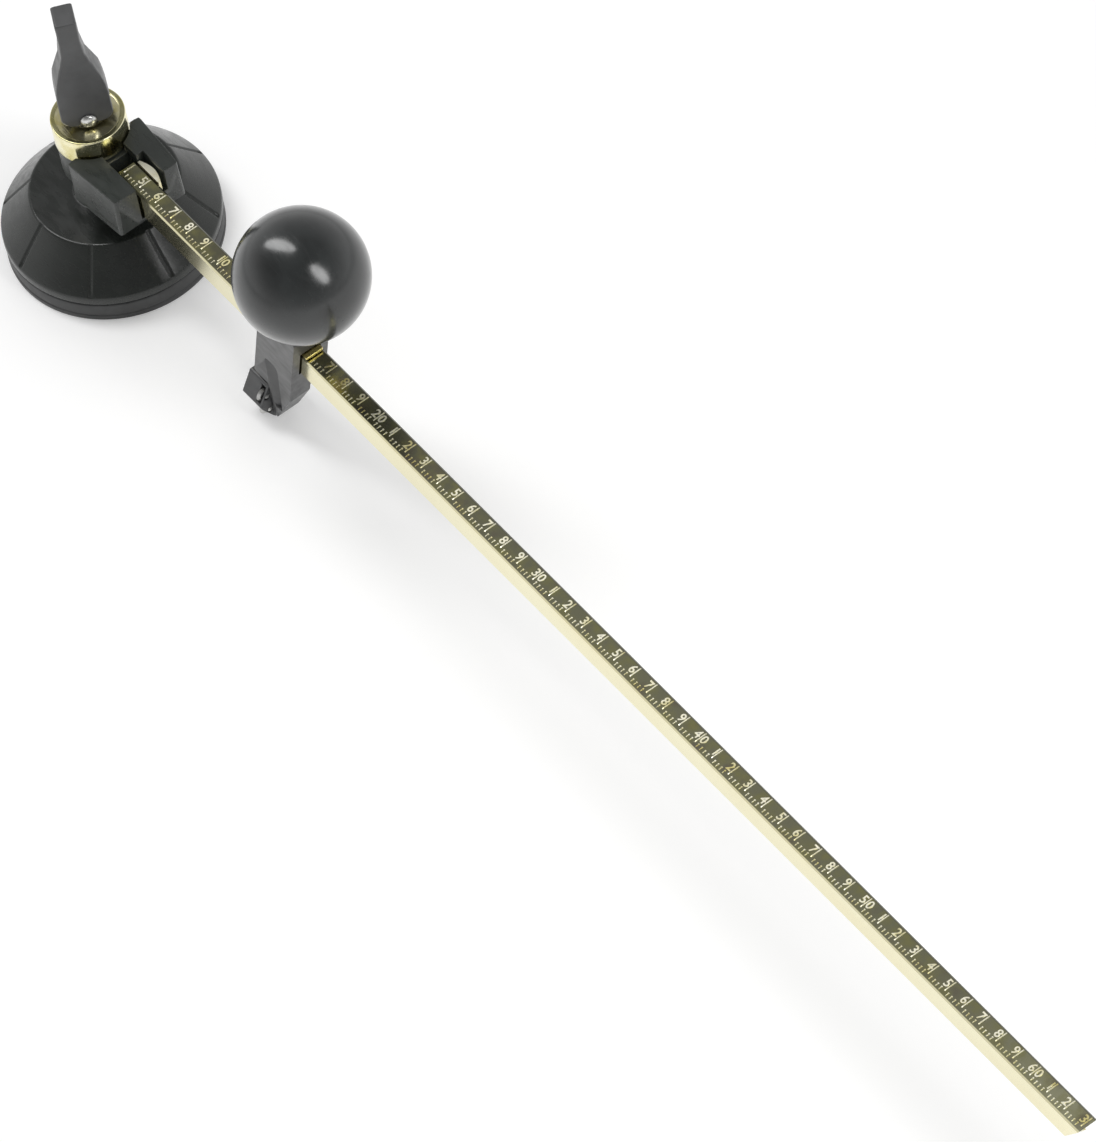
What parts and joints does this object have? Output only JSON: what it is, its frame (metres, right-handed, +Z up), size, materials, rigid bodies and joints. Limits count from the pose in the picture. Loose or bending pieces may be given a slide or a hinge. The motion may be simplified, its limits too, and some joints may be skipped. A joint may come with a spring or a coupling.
{
  "type": "circle cutter",
  "caption": "Glass circle cutter: suction base with cam lever, swinging measuring bar, sliding head with ball knob and a turret of cutting wheels.",
  "frame": {"origin": "centre of the suction pad's flat underside, on the axis that the arm swings about", "axes": "+X along the measuring bar, +Z up from the glass"},
  "size_m": [0.3291, 0.0428, 0.0705],
  "materials": {
    "bell_plastic": "semi-gloss moulded black",
    "holder_plastic": "satin moulded black",
    "lever_plastic": "satin moulded dark grey",
    "head_plastic": "satin moulded dark grey",
    "ball_plastic": "polished black",
    "pad_rubber": "smooth black rubber",
    "ring_brass": "polished",
    "bar_brass": "bright plated",
    "bright_steel": "bright",
    "wheel_steel": "ground"
  },
  "bodies": {
    "base": {"base_housing": "bell_plastic", "suction_pad": "pad_rubber", "swivel_bush": "ring_brass", "thrust_washer": "bright_steel"},
    "stud": {"pad_stud": "bright_steel"},
    "lever": {"cam_lever": "lever_plastic", "lever_rivet": "bright_steel"},
    "arm": {"bar_holder": "holder_plastic", "measuring_bar": "bar_brass", "bar_pin": "bright_steel", "bar_spring": "bright_steel"},
    "head": {"carriage_body": "head_plastic", "pressure_plate": "ring_brass", "turret_screw": "bright_steel", "spring_washer": "bright_steel"},
    "knob": {"ball_knob": "ball_plastic", "knob_insert": "ring_brass", "clamp_screw": "bright_steel"},
    "turret": {"cutter_turret": "head_plastic", "wheel_axle_1": "bright_steel", "wheel_axle_2": "bright_steel", "wheel_axle_3": "bright_steel", "wheel_axle_4": "bright_steel", "wheel_axle_5": "bright_steel", "wheel_axle_6": "bright_steel"},
    "wheel_1": {"cutting_wheel_1": "wheel_steel"},
    "wheel_2": {"cutting_wheel_2": "wheel_steel"},
    "wheel_3": {"cutting_wheel_3": "wheel_steel"},
    "wheel_4": {"cutting_wheel_4": "wheel_steel"},
    "wheel_5": {"cutting_wheel_5": "wheel_steel"},
    "wheel_6": {"cutting_wheel_6": "wheel_steel"}
  },
  "joints": [
    {"name": "pad_lift", "type": "slide", "parent": "base", "child": "stud", "axis": [0, 0, 1], "range_m": [0, 0.0033], "deforming": ["suction_pad"]},
    {"name": "lever_flip", "type": "hinge", "parent": "stud", "child": "lever", "pos_m": [0, 0, 0.0385], "axis": [0.8988, -0.4384, 0], "range_deg": [0, 90]},
    {"name": "arm_swing", "type": "hinge", "parent": "base", "child": "arm", "pos_m": [0, 0, 0.0272], "axis": [0, 0, 1], "continuous": true},
    {"name": "carriage_slide", "type": "slide", "parent": "arm", "child": "head", "axis": [1, 0, 0], "range_m": [-0.027, 0.23]},
    {"name": "knob_turn", "type": "hinge", "parent": "head", "child": "knob", "pos_m": [0.0742, 0, 0.0574], "axis": [0.284, 0, 0.9588], "range_deg": [0, 360]},
    {"name": "turret_turn", "type": "hinge", "parent": "head", "child": "turret", "pos_m": [0.05685, -0.0015, 0.0064], "axis": [1, 0, 0], "continuous": true},
    {"name": "wheel_spin_1", "type": "hinge", "parent": "turret", "child": "wheel_1", "pos_m": [0.05685, -0.0015, 0.0025], "axis": [1, 0, 0], "continuous": true},
    {"name": "wheel_spin_2", "type": "hinge", "parent": "turret", "child": "wheel_2", "pos_m": [0.05685, 0.00188, 0.00445], "axis": [1, 0, 0], "continuous": true},
    {"name": "wheel_spin_3", "type": "hinge", "parent": "turret", "child": "wheel_3", "pos_m": [0.05685, 0.00188, 0.00835], "axis": [1, 0, 0], "continuous": true},
    {"name": "wheel_spin_4", "type": "hinge", "parent": "turret", "child": "wheel_4", "pos_m": [0.05685, -0.0015, 0.0103], "axis": [1, 0, 0], "continuous": true},
    {"name": "wheel_spin_5", "type": "hinge", "parent": "turret", "child": "wheel_5", "pos_m": [0.05685, -0.00488, 0.00835], "axis": [1, 0, 0], "continuous": true},
    {"name": "wheel_spin_6", "type": "hinge", "parent": "turret", "child": "wheel_6", "pos_m": [0.05685, -0.00488, 0.00445], "axis": [1, 0, 0], "continuous": true}
  ],
  "couplings": [
    {"joint": "lever_flip", "follows": "pad_lift", "rad_per_m": 476}
  ]
}
